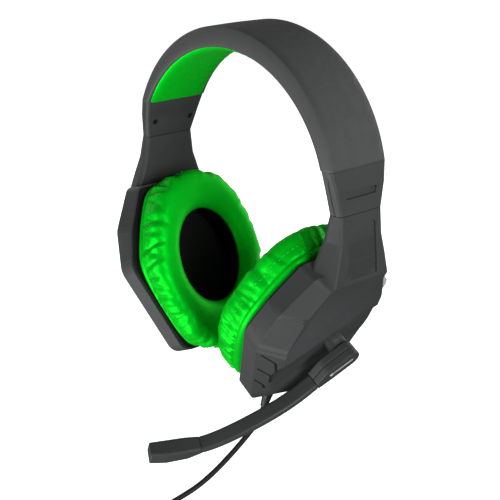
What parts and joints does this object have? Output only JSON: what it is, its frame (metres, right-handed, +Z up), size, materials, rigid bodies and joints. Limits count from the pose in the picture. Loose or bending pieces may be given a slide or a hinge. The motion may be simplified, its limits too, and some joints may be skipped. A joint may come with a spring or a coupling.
{
  "type": "gaming headset",
  "caption": "Over-ear headset with a padded headband, sliding canted cups with thick ear pads, a swinging microphone boom and a cable with a round plug.",
  "frame": {"origin": "the crown: lowest point of the pad under the headband, where it rests on the head", "axes": "+Z up, +X towards the wearer's left (the boom's side), -Y towards the wearer's front"},
  "size_m": [0.1638, 0.1213, 0.3492],
  "materials": {
    "shell_plastic": "fine-grained charcoal moulding",
    "panel_plastic": "smooth satin inset panel",
    "black_plastic": "plain black moulding",
    "band_cover": "soft-touch pebbled leatherette",
    "green_leatherette": "glossy wrinkled leatherette over foam",
    "mesh_cloth": "black speaker cloth with a hexagon weave",
    "spring_steel": "cold-rolled strip",
    "screw_steel": "black zinc screws",
    "diaphragm_film": "thin film",
    "board": "solder mask",
    "wheel_plastic": "light grey knurled moulding",
    "accent": "light line",
    "boom_rubber": "satin elastomer",
    "cable_rubber": "satin cable jacket",
    "contact_gold": "gold-plated contacts"
  },
  "bodies": {
    "headband": {"headband_cover": "band_cover", "headband_pad": "green_leatherette", "headband_spring": "spring_steel", "band_end_screws": "screw_steel", "left_band_end_outer": "shell_plastic", "left_band_end_inner": "shell_plastic", "right_band_end_outer": "shell_plastic", "right_band_end_inner": "shell_plastic"},
    "left_cup": {"left_slider": "spring_steel", "left_arm_cover": "shell_plastic", "left_arm_panel": "panel_plastic", "left_shell": "shell_plastic", "left_rim": "shell_plastic", "left_vent_inserts": "black_plastic", "left_pad_retainer": "black_plastic", "left_speaker_cloth": "mesh_cloth", "left_baffle": "black_plastic", "left_driver_frame": "black_plastic", "left_driver_magnet": "spring_steel", "left_diaphragm": "diaphragm_film", "left_ear_pad": "green_leatherette", "volume_pot": "black_plastic", "volume_board": "board", "boom_pivot_pin": "spring_steel", "boom_washer": "black_plastic", "cable": "cable_rubber", "cable_gland": "cable_rubber", "cable_coil": "cable_rubber", "coil_tie": "black_plastic", "cable_tail": "cable_rubber", "plug_relief": "cable_rubber", "plug_grip": "cable_rubber", "plug_core": "black_plastic", "plug_sleeve": "contact_gold", "plug_ring_inner": "contact_gold", "plug_ring_outer": "contact_gold", "plug_tip": "contact_gold"},
    "right_cup": {"right_slider": "spring_steel", "right_arm_cover": "shell_plastic", "right_arm_panel": "panel_plastic", "right_shell": "shell_plastic", "right_rim": "shell_plastic", "right_vent_inserts": "black_plastic", "right_pad_retainer": "black_plastic", "right_speaker_cloth": "mesh_cloth", "right_baffle": "black_plastic", "right_driver_frame": "black_plastic", "right_driver_magnet": "spring_steel", "right_diaphragm": "diaphragm_film", "right_ear_pad": "green_leatherette"},
    "boom": {"boom_housing_inner": "shell_plastic", "boom_housing_outer": "shell_plastic", "boom_accent": "accent", "boom_arm": "boom_rubber", "mic_housing": "shell_plastic", "mic_foam": "mesh_cloth", "mic_capsule": "spring_steel"},
    "volume_wheel": {"volume_wheel": "wheel_plastic"}
  },
  "joints": [
    {"name": "left_slide", "type": "slide", "parent": "headband", "child": "left_cup", "axis": [0.1994, 0, -0.9799], "range_m": [0, 0.02]},
    {"name": "right_slide", "type": "slide", "parent": "headband", "child": "right_cup", "axis": [-0.1994, 0, -0.9799], "range_m": [0, 0.02]},
    {"name": "boom_swing", "type": "hinge", "parent": "left_cup", "child": "boom", "pos_m": [0.06832, 0.0086, -0.14872], "axis": [0.8983, 0, -0.4393], "range_deg": [-120, 12]},
    {"name": "volume_turn", "type": "hinge", "parent": "left_cup", "child": "volume_wheel", "pos_m": [0.06468, 0.0269, -0.1161], "axis": [0.8983, 0, -0.4393], "range_deg": [-140, 140]}
  ]
}
